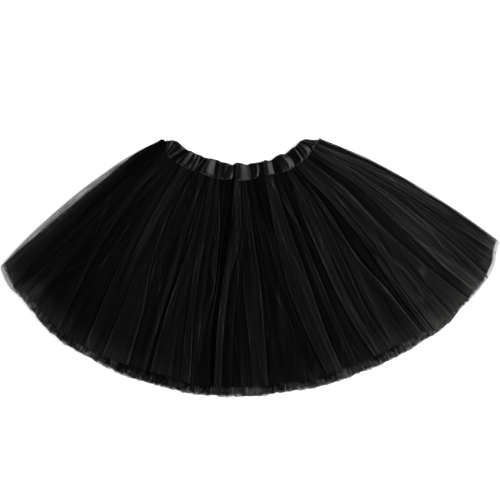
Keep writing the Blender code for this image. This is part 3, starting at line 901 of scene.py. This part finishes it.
# The waistband's ends, where it folds over to the back: the angle at its top and low edges
BAND_LEFT = (-42.2, -39.2)
BAND_RIGHT = (39.8, 45.2)
BAND_ROUNDNESS = 4.5
BAND_RADIUS = 178.4  # of its top edge, before it scallops
BAND_HEIGHT = 29.4
BAND_BACK_COLUMNS = 120
BELOW_SHARE = 0.7  # how far the casing stands out below, as a share of how far it does above
BACK_REACH = 1.95  # the most that the band's back wall stands out, so that it stays above the floor
BACK_WAVES = 0.18  # how far the back wall waves
BACK_WAVE_SIZE = (5.0, 25.0)
BACK_SIZE = (260.0, 30.0)  # the back wall's width and height, as its waves count them
RUFFLE_PITCH = 0.8  # the width of a ruffle's columns

# The waistband's top and low edges, by angle: how far they are from the apex
BAND_TOP = table(
    "angle radius",
    (-42.2, 186.3),
    (-39.5, 177.6),
    (-37.0, 175.0),
    (-34.0, 176.3),
    (-30.2, 177.6),
    (-27.6, 176.2),
    (-25.0, 176.8),
    (-22.2, 175.8),
    (-20.0, 176.8),
    (-16.0, 175.6),
    (-12.4, 175.0),
    (-9.6, 177.2),
    (-6.0, 178.0),
    (-3.6, 180.0),
    (-1.4, 175.8),
    (1.4, 177.0),
    (4.6, 180.0),
    (6.6, 178.0),
    (12.4, 178.5),
    (14.6, 177.4),
    (17.2, 180.4),
    (22.4, 176.3),
    (24.6, 177.2),
    (26.4, 179.3),
    (31.8, 176.2),
    (33.2, 176.8),
    (37.2, 174.4),
    (39.8, 176.4),
)
BAND_LOW = table(
    "angle radius",
    (-42.2, 195.0),
    (-39.7, 200.5),
    (-35.1, 207.6),
    (-32.4, 207.1),
    (-24.7, 207.4),
    (-19.2, 205.6),
    (-9.8, 208.2),
    (-3.1, 206.4),
    (2.4, 208.0),
    (5.5, 208.1),
    (10.7, 203.6),
    (17.5, 206.4),
    (19.1, 208.4),
    (27.5, 208.6),
    (33.1, 206.4),
    (37.4, 203.6),
    (45.2, 195.6),
)

# The creases between the waistband's ruffles, left to right: the angle at the top and low edges, and how far
# it bows to the right between them; which side lies on top and how far it laps over; the cloth's height on
# its left and on its right; and, for the ruffle to its right, how far it puffs out at the top and low edges,
# where across it that is fullest at each, how far it has levelled out again where it ends, and the share of
# its fullness that it loses between the two edges
Crease = namedtuple(
    "Crease",
    "top low bow over lap left_up right_up top_puff low_puff top_crest low_crest tail pinch",
    defaults=(0.0,),
)
FIRST_RUFFLE = Crease(0, 0, 0, LEFT, 0, 0, 0, 1.8, 0.2, 0.30, 0.30, 0.3)
CREASES = [Crease(*row) for row in (
    (-39.4, -38.4, 0.3, LEFT, 0.4, 0.4, -2.0, 2.8, 3.2, 0.62, 0.35, 0.0),
    (-31.4, -35.3, 0.0, LEFT, 0.8, 0.2, -3.2, 0.0, 0.0, 0.50, 0.50, 1.0),
    (-28.4, -32.6, -0.3, RIGHT, 0.8, -2.6, 0.8, 0.1, 2.8, 0.30, 0.30, 0.1),
    (-28.1, -30.2, -0.5, RIGHT, 0.5, 0.0, 2.3, 0.2, 0.4, 0.20, 0.20, 0.4),
    (-25.9, -27.4, 0.2, LEFT, 0.0, -0.2, -0.2, 1.3, 2.5, 0.45, 0.20, 0.4, 0.65),
    (-23.8, -24.4, 0.4, LEFT, 0.0, -0.6, -0.8, 1.1, 1.3, 0.45, 0.45, 0.2),
    (-21.9, -22.3, 0.2, LEFT, 0.6, 0.2, -0.8, 0.0, 0.0, 0.50, 0.50, 1.0),
    (-18.9, -21.9, -0.2, LEFT, 0.8, 0.2, -3.6, 0.0, 0.0, 0.50, 0.50, 1.0),
    (-17.2, -19.7, -0.4, RIGHT, 1.4, -3.6, 1.4, 2.6, 3.5, 0.14, 0.26, 0.3),
    (-12.8, -12.4, -0.2, LEFT, 0.2, -0.4, -0.9, 0.6, 0.7, 0.60, 0.60, 0.3, 0.6),
    (-10.2, -9.8, -0.3, LEFT, 0.4, -0.2, -0.9, 4.0, 1.2, 0.16, 0.30, 0.9),
    (-3.4, -7.2, 0.6, LEFT, 0.9, 1.0, -1.2, 0.1, 3.4, 0.25, 0.22, 0.3),
    (-3.2, -3.3, 0.2, LEFT, 0.6, 0.8, -3.4, 0.0, 0.0, 0.50, 0.50, 1.0),
    (-1.6, -1.5, -0.2, RIGHT, 0.9, -3.2, 1.3, 2.8, 3.3, 0.22, 0.10, 0.5),
    (5.2, 5.6, 0.2, LEFT, 0.3, -0.4, -1.7, 1.2, 1.2, 0.72, 0.72, 0.1),
    (10.5, 9.6, 0.4, LEFT, 0.7, 0.2, -3.4, 0.0, 0.0, 0.50, 0.50, 1.0),
    (13.4, 13.0, -0.2, RIGHT, 0.6, -2.8, 0.6, 2.6, 3.2, 0.30, 0.18, 0.2),
    (18.2, 17.7, -0.3, LEFT, 0.9, 0.4, -3.4, 0.0, 0.0, 0.50, 0.50, 1.0),
    (20.2, 21.4, 0.3, RIGHT, 0.3, -2.0, -0.6, 0.5, 0.4, 0.60, 0.60, 0.1),
    (22.6, 22.4, 0.5, LEFT, 0.6, 0.2, -0.2, 4.4, 3.6, 0.12, 0.40, 0.5),
    (26.6, 27.8, 1.1, LEFT, 0.8, 0.4, -3.0, 0.0, 0.0, 0.50, 0.50, 1.0),
    (29.4, 29.2, 0.2, RIGHT, 0.4, -1.4, 0.0, 0.8, 0.9, 0.72, 0.72, 0.1),
    (32.6, 33.2, 0.3, LEFT, 0.9, 0.4, -2.6, 4.6, 3.6, 0.40, 0.50, 0.2),
    (36.8, 38.6, 1.2, LEFT, 0.9, 0.2, -2.4, 1.2, 2.8, 0.50, 0.50, 0.2),
    (38.3, 42.0, 0.5, LEFT, 0.5, 0.2, -1.6, 1.8, 2.8, 0.45, 0.40, 0.3),
)]
CREASE_HALF = 1.0
SCALLOP = 1.8  # how much longer the casing is at a full ruffle than in a crease, in millimetres
TOP_SCALLOP = 0.6  # the share of that at its top edge
FULL_RUFFLE = 4.5  # the height of a full ruffle
RUFFLE_RANGE = (-0.3, 1.1)
MEAN_RUFFLE = 0.5

# The casing's section, from the low edge up its outer face, over the top and down its inner face: the share
# of the way down, the distance out from the middle of the wall, and the share of the ruffles that it takes
CASING = table(
    "down out puff",
    (0.955, 0.30, 0.30),
    (0.985, 0.35, 0.36),
    (1.000, 1.03, 0.45),
    (0.985, 1.48, 0.58),
    (0.955, 1.88, 0.70),
    (0.920, 2.20, 0.81),
    (0.880, 2.46, 0.90),
    (0.830, 2.66, 0.96),
    (0.770, 2.72, 1.00),
    (0.700, 2.72, 1.00),
    (0.620, 2.72, 1.00),
    (0.540, 2.72, 1.00),
    (0.460, 2.72, 1.00),
    (0.380, 2.72, 1.00),
    (0.300, 2.72, 0.98),
    (0.220, 2.72, 0.94),
    (0.150, 2.66, 0.88),
    (0.090, 2.46, 0.78),
    (0.045, 2.07, 0.66),
    (0.012, 1.42, 0.50),
    (0.000, 0.30, 0.32),
    (0.008, -0.40, 0.16),
    (0.030, -0.90, 0.06),
    (0.100, -1.30, 0.00),
    (0.500, -1.50, 0.00),
    (0.900, -1.40, 0.00),
    (0.970, -1.25, 0.00),
)


def satin_band(material):
    """The gathered satin casing: a flattened ring whose wall is itself folded over the hidden elastic."""
    columns = ("down", "out", "puff")
    down, out, puff = (np.array([getattr(point, column) for point in CASING]) for column in columns)
    left = between(*BAND_LEFT, down)
    right = between(*BAND_RIGHT, down)
    radius = BAND_RADIUS + BAND_HEIGHT * down
    turn = arc(BAND_ROUNDNESS, radius)
    front = band_wall(left + turn, right - turn, radius, down, puff)
    shares = np.linspace(0.0, 1.0, BAND_BACK_COLUMNS)[None, :]
    back_angle = (left + turn)[:, None] + (right - left - 2.0 * turn)[:, None] * shares
    places = (shares * BACK_SIZE[0], down[:, None] * BACK_SIZE[1])
    waves = wander(BAND_SEED, *places, *BACK_WAVE_SIZE)
    back_out = BACK_WAVES * (1.0 + waves) * puff[:, None]

    # The side folds turn round the ring's own middle, and stand out less below it than above
    middle = (BAND_FRONT_HEIGHT + BAND_BACK_HEIGHT) / 2
    half = (BAND_FRONT_HEIGHT - BAND_BACK_HEIGHT) / 2
    reaches = (middle, half + out, half + BELOW_SHARE * out, out)
    right_angle, right_height = side_fold(right, RIGHT, turn, radius, *reaches)
    left_angle, left_height = side_fold(left, LEFT, turn, radius, *reaches)
    front_height = BAND_FRONT_HEIGHT + (out[:, None] + front.height * puff[:, None])
    back_height = BAND_BACK_HEIGHT - np.minimum(BELOW_SHARE * out[:, None] + back_out, BACK_REACH)
    angle = np.hstack([front.angle, right_angle, back_angle[:, ::-1], left_angle])
    height = np.hstack([front_height, right_height, back_height[:, ::-1], left_height])

    # A full ruffle takes more of the casing's height, so its edges reach further than a crease's do
    fuller = np.zeros(angle.shape)
    fuller[:, : front.height.shape[1]] = np.clip(front.height / FULL_RUFFLE, *RUFFLE_RANGE) - MEAN_RUFFLE
    top = read(BAND_TOP, "radius", angle) - TOP_SCALLOP * SCALLOP * fuller
    low = read(BAND_LOW, "radius", angle) + SCALLOP * fuller
    distance = between(top, low, down[:, None])

    row = len(CASING) // 3
    strip = length_across(angle[row], height[row], radius[row])
    climbs = np.hypot(np.diff(down) * BAND_HEIGHT, np.diff(out))
    fall = np.concatenate([[0.0], np.cumsum(climbs)])
    return cloth_tube("satin_band", angle, distance, height, strip, fall, {}, material)


def ruffle_bulge(share, crest, tail):
    """How full a ruffle is across it: a soft rise to its crest, then a fall that levels out by its tail."""
    rise = np.clip(share / crest, 0.0, 1.0)
    fall = np.clip((share - crest) / (1.0 - crest), 0.0, 1.0)
    steep = np.cos(0.5 * math.pi * fall)
    level = 0.5 * (1.0 + np.cos(math.pi * fall))
    return np.where(share < crest, 0.5 * (1.0 - np.cos(math.pi * rise)), between(steep, level, tail))


def band_wall(left, right, radius, casing_down, puff_share):
    """The waistband front's ruffles: puffed panels between creases, before the casing rounds them off."""
    middle = np.sin(math.pi * casing_down)
    lines = [between(crease.top, crease.low, casing_down) + crease.bow * middle for crease in CREASES]
    bounds = np.array([left, *lines, right])
    widths = np.diff(bounds, axis=0) * radius / DEGREES
    level = np.ones(len(radius))
    rooms = np.minimum(widths[:-1], widths[1:])
    halves = [0.0 * level, *[np.minimum(CREASE_HALF, MOST_HALF * room) for room in rooms], 0.0 * level]
    ends = [crease.left_up for crease in CREASES] + [0.0]
    angles, heights = [], []
    for place, ruffle in enumerate((FIRST_RUFFLE, *CREASES)):
        first = place == 0
        last = place == len(CREASES)
        start = bounds[place] + arc(halves[place], radius)
        end = bounds[place + 1] - arc(halves[place + 1], radius)
        puff = between(ruffle.top_puff, ruffle.low_puff, casing_down) * (1.0 - ruffle.pinch * middle)
        crest = between(ruffle.top_crest, ruffle.low_crest, casing_down)
        count = max(4, int(round(widths[place].mean() / RUFFLE_PITCH)))
        for share in panel_columns(count, first, last):
            angles.append(between(start, end, share))
            rise = between(ruffle.right_up, ends[place], share)
            heights.append(rise + puff * ruffle_bulge(share, crest, ruffle.tail))
        if last:
            break
        crease = CREASES[place]
        half = halves[place + 1]
        lap = np.minimum(crease.lap, 0.5 * rooms[place])
        swing = (0.5 * lap + 0.5 * half) * min(crease.lap * 4.0, 1.0) * np.minimum(puff_share * 1.4, 1.0)
        for across in fold_columns(FRONT_FOLD_COLUMNS):
            angles.append(lines[place] + arc(half * across - swing * math.sin(math.pi * across), radius))
            step = float(ease(-1.0, 1.0, across))
            heights.append(between(crease.left_up, crease.right_up, step) * level)
    return Wall(np.array(angles).T, np.array(heights).T, None)


# ---- materials


class Nodes:
    """A material's node tree, with short calls to add a node and join it to others."""

    def __init__(self, name):
        self.material = bpy.data.materials.new(name)
        self.material.use_nodes = True
        self.tree = self.material.node_tree
        self.shader = self.tree.nodes["Principled BSDF"]

    def join(self, socket, value):
        if isinstance(value, bpy.types.NodeSocket):
            self.tree.links.new(value, socket)
        else:
            socket.default_value = value

    def add(self, kind, inputs=(), output=0, **settings):
        node = self.tree.nodes.new(kind)
        for setting, value in settings.items():
            setattr(node, setting, value)
        for key, value in dict(inputs).items():
            self.join(node.inputs[key], value)
        return node.outputs[output]

    def maths(self, operation, *values):
        return self.add("ShaderNodeMath", dict(enumerate(values)), operation=operation)

    def vector(self, operation, *values, output=0):
        return self.add("ShaderNodeVectorMath", dict(enumerate(values)), output, operation=operation)

    def combine(self, *values):
        return self.add("ShaderNodeCombineXYZ", dict(enumerate(values)))

    def noise(self, place, detail, **settings):
        inputs = {"Vector": place, "Scale": 1.0, "Detail": detail, **settings}
        return self.add("ShaderNodeTexNoise", inputs)

    def attribute(self, name):
        return self.add("ShaderNodeAttribute", output=2, attribute_name=name)

    def span(self, value, low, high, to_low=0.0, to_high=1.0):
        inputs = {0: value, 1: low, 2: high, 3: to_low, 4: to_high}
        return self.add("ShaderNodeMapRange", inputs, interpolation_type="SMOOTHSTEP")

    def finish(self, **values):
        for name, value in values.items():
            self.join(self.shader.inputs[name.replace("_", " ")], value)
        return self.material


# The lines that the net's small creases make: how far apart and how long they are, in metres; how far they
# slant over a metre's fall; their thickness as a share of their spacing; and how much lighter or darker than
# the net beside them they are painted, as painted highlights and painted shade
CREASE_LINES = table(
    "spacing reach slant thickness strength",
    (0.034, 0.30, 0.06, 0.045, 1.50),
    (0.023, 0.24, -0.07, 0.060, 1.10),
    (0.013, 0.18, 0.02, 0.090, 0.70),
    (0.026, 0.28, -0.03, 0.080, -0.55),
    (0.070, 0.20, 0.16, 0.017, 1.30),
    (0.083, 0.17, -0.18, 0.015, 1.20),
    (0.060, 0.22, -0.15, 0.045, -0.45),
)
MOST_BEND = 2.2  # how far a crease's line wanders at most, in spacings
BEND_REACH = 0.055  # and in metres
EDGE_SOFTNESS = 0.05  # of a thread, as a share of the net's mesh


def net_mesh(nodes, place, pitch):
    """How near a point is to a thread of six-sided net: 0 in the middle of a hole, 0.5 on a thread."""
    cell = nodes.vector("MULTIPLY", place, (1.0 / pitch, 1.0 / pitch, 0.0))
    size = (1.0, math.sqrt(3.0), 1.0)
    half = (0.5, math.sqrt(3.0) / 2, 0.0)
    offsets = []
    for shift in ((0.0, 0.0, 0.0), half):
        moved = nodes.vector("SUBTRACT", cell, shift)
        wrapped = nodes.vector("WRAP", moved, size, (0.0, 0.0, -1.0))
        offsets.append(nodes.vector("SUBTRACT", wrapped, half))
    first, second = (nodes.vector("LENGTH", offset, output=1) for offset in offsets)
    nearer = nodes.maths("LESS_THAN", first, second)
    choice = {"Factor": nearer, 4: offsets[1], 5: offsets[0]}
    folded = nodes.vector("ABSOLUTE", nodes.add("ShaderNodeMix", choice, 1, data_type="VECTOR"))
    slant = nodes.vector("DOT_PRODUCT", folded, half, output=1)
    straight = nodes.add("ShaderNodeSeparateXYZ", {0: folded})
    return nodes.maths("MAXIMUM", slant, straight)


def crease_lines(nodes, place, lines):
    """Thin lines that run down the cloth and wander a little; each starts and ends in its own place."""
    seed = 100.0 * lines.spacing
    slanted = (1.0 / lines.spacing, lines.slant / lines.spacing, 0.0)
    across = nodes.vector("DOT_PRODUCT", place, slanted, output=1)
    along = nodes.vector("DOT_PRODUCT", place, (0.0, 1.0 / lines.reach, 0.0), output=1)
    bend = nodes.noise(nodes.combine(nodes.maths("MULTIPLY", across, 0.8), along, seed), 1.0)
    moved = nodes.maths("MULTIPLY_ADD", bend, min(MOST_BEND, BEND_REACH / lines.spacing), across)
    number = nodes.maths("MULTIPLY", nodes.maths("FLOOR", moved), 1.7)
    fade = nodes.noise(nodes.combine(number, nodes.maths("MULTIPLY", along, 1.6), seed + 5.0), 0.0)
    strength = nodes.span(fade, 0.40, 0.62)
    off = nodes.maths("ABSOLUTE", nodes.maths("SUBTRACT", nodes.maths("FRACT", moved), 0.5))
    width = nodes.maths("MULTIPLY_ADD", strength, lines.thickness, 0.001)
    return nodes.span(off, 0.0, width, strength, 0.0)


def net_material(name, pitch, colour, creased):
    """Fine black net: threads round six-sided holes, with the painted light and dark lines of its creases,
    and the painted light and shade that its tone attribute holds.
    """
    nodes = Nodes(name)
    place = nodes.add("ShaderNodeUVMap", uv_map="cloth")
    near = net_mesh(nodes, place, pitch)
    width = nodes.maths("SUBTRACT", 0.5 - EDGE_SOFTNESS / 2, nodes.attribute("thread"))
    edge = nodes.maths("ADD", width, EDGE_SOFTNESS)
    cover = nodes.add("ShaderNodeMapRange", {0: near, 1: width, 2: edge, 3: 0.0, 4: 1.0}, clamp=True)
    streak = nodes.noise(nodes.vector("MULTIPLY", place, (330.0, 5.0, 1.0)), 2.0, Roughness=0.6)
    # The tone attribute holds random tone with painted light and shade in it; the streaks are random tone
    lighter = nodes.maths("MULTIPLY", nodes.attribute("tone"), nodes.span(streak, 0.34, 0.68, 0.75, 1.30))
    if creased:
        share = nodes.attribute("creased")
        # Painted highlights and painted shade along the creases
        for lines in CREASE_LINES:
            shown = nodes.maths("MULTIPLY", crease_lines(nodes, place, lines), share)
            change = nodes.maths("MULTIPLY_ADD", shown, lines.strength, 1.0)
            lighter = nodes.maths("MULTIPLY", lighter, change)
    shade = nodes.vector("MULTIPLY", colour, nodes.combine(lighter, lighter, lighter))
    bump = nodes.add("ShaderNodeBump", {"Height": near, "Distance": 0.0001, "Strength": 0.4})
    return nodes.finish(
        Base_Color=shade,
        Roughness=0.7,
        Specular_IOR_Level=0.012,
        Sheen_Weight=0.05,
        Sheen_Roughness=0.35,
        Alpha=cover,
        Normal=bump,
    )


def satin_material():
    """Black satin: smooth floats of thread with a soft gloss, and the small crush marks of gathering."""
    nodes = Nodes("black_satin")
    place = nodes.add("ShaderNodeUVMap", uv_map="cloth")
    threads = {"Vector": place, "Scale": 900.0, "Distortion": 1.5, "Detail": 2.0}
    weave = nodes.add("ShaderNodeTexWave", threads, bands_direction="X")
    crush = nodes.noise(nodes.vector("MULTIPLY", place, (420.0, 90.0, 1.0)), 4.0, Roughness=0.55)
    fine = nodes.add("ShaderNodeBump", {"Height": weave, "Distance": 0.00003, "Strength": 0.25})
    marks = {"Height": crush, "Distance": 0.0001, "Strength": 0.5, "Normal": fine}
    shades = {"Factor": crush, 6: (0.0004, 0.0004, 0.00038, 1.0), 7: (0.0012, 0.0012, 0.00114, 1.0)}
    return nodes.finish(
        Base_Color=nodes.add("ShaderNodeMix", shades, 2, data_type="RGBA"),
        Roughness=nodes.span(crush, 0.3, 0.7, 0.24, 0.31),
        Specular_IOR_Level=0.18,
        Sheen_Weight=0.002,
        Sheen_Roughness=0.35,
        Normal=nodes.add("ShaderNodeBump", marks),
    )


# ---- floor, light and camera

FLOOR_SIZE = 30.0
CAMERA_HEIGHT = 4.5
CLOTH_MIDDLE = 0.008  # the height at which the camera sees VIEW_WIDTH
VIEW_WIDTH = 0.866
SKY = (0.1, 0.9, 1.6, 0.06)  # two heights, from 0 at the sky's edge to 1 overhead, and its brightness at each
SENSOR_WIDTH = 36.0


def linked(name, data):
    thing = bpy.data.objects.new(name, data)
    bpy.context.scene.collection.objects.link(thing)
    return thing


def floor():
    """A plain white table under the skirt, faintly lit from below, so that its shadows stay pale."""
    mesh = bpy.data.meshes.new("floor")
    corners = [(FLOOR_SIZE * x, FLOOR_SIZE * y, 0.0) for x, y in ((-1, -1), (1, -1), (1, 1), (-1, 1))]
    mesh.from_pydata(corners, [], [(0, 1, 2, 3)])
    white = (0.92, 0.92, 0.92, 1.0)
    paper = Nodes("white_paper")
    mesh.materials.append(
        paper.finish(Base_Color=white, Roughness=0.9, Emission_Color=white, Emission_Strength=0.5)
    )
    linked("floor", mesh)


def light(name, place, width, length, watts):
    """A soft area lamp that faces the skirt's middle."""
    lamp = bpy.data.lights.new(name, "AREA")
    lamp.shape = "RECTANGLE"
    lamp.size = width
    lamp.size_y = length
    lamp.energy = watts
    holder = linked(name, lamp)
    holder.location = place
    holder.rotation_euler = (-Vector(place)).to_track_quat("-Z", "Y").to_euler()


def studio():
    """Soft lamps beyond the skirt's right side and its hem, under a pale sky that is dimmest overhead."""
    world = bpy.data.worlds.new("studio")
    bpy.context.scene.world = world
    world.use_nodes = True
    tree = world.node_tree
    background = tree.nodes["Background"]
    place = tree.nodes.new("ShaderNodeTexCoord")
    split = tree.nodes.new("ShaderNodeSeparateXYZ")
    ramp = tree.nodes.new("ShaderNodeMapRange")
    for number, value in enumerate(SKY, start=1):
        ramp.inputs[number].default_value = value
    tree.links.new(place.outputs["Generated"], split.inputs[0])
    tree.links.new(split.outputs["Z"], ramp.inputs[0])
    tree.links.new(ramp.outputs[0], background.inputs["Strength"])
    background.inputs["Color"].default_value = (1.0, 1.0, 1.0, 1.0)
    light("key", (2.1, 0.0, 2.3), width=4.8, length=1.2, watts=135.0)
    light("fill", (-0.4, -3.2, 1.3), width=3.0, length=1.6, watts=26.0)


def camera():
    """Straight above the skirt, the waistband up."""
    data = bpy.data.cameras.new("camera")
    data.sensor_width = SENSOR_WIDTH
    data.lens = SENSOR_WIDTH * (CAMERA_HEIGHT - CLOTH_MIDDLE) / VIEW_WIDTH
    data.clip_end = 100.0
    holder = linked("camera", data)
    holder.location = (0.0013, 0.0302, CAMERA_HEIGHT)
    bpy.context.scene.camera = holder


# ---- assembly


def main():
    scene = bpy.context.scene
    scene.view_settings.view_transform = "Standard"
    scene.cycles.transparent_max_bounces = 64
    camera()
    studio()
    floor()
    satin = satin_material()
    fine_net = net_material("fine_net", pitch=0.0013, colour=(0.0038, 0.0038, 0.0036), creased=True)
    close_net = net_material("close_net", pitch=0.0011, colour=(0.00123, 0.00123, 0.00117), creased=False)

    for ring in RINGS:
        piece = net_ring(ring, close_net if ring.front_folds else fine_net)
        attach(piece, "root")
        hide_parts(ring.node)
    band = satin_band(satin)
    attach(band, "root")
    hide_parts("waistband")


main()
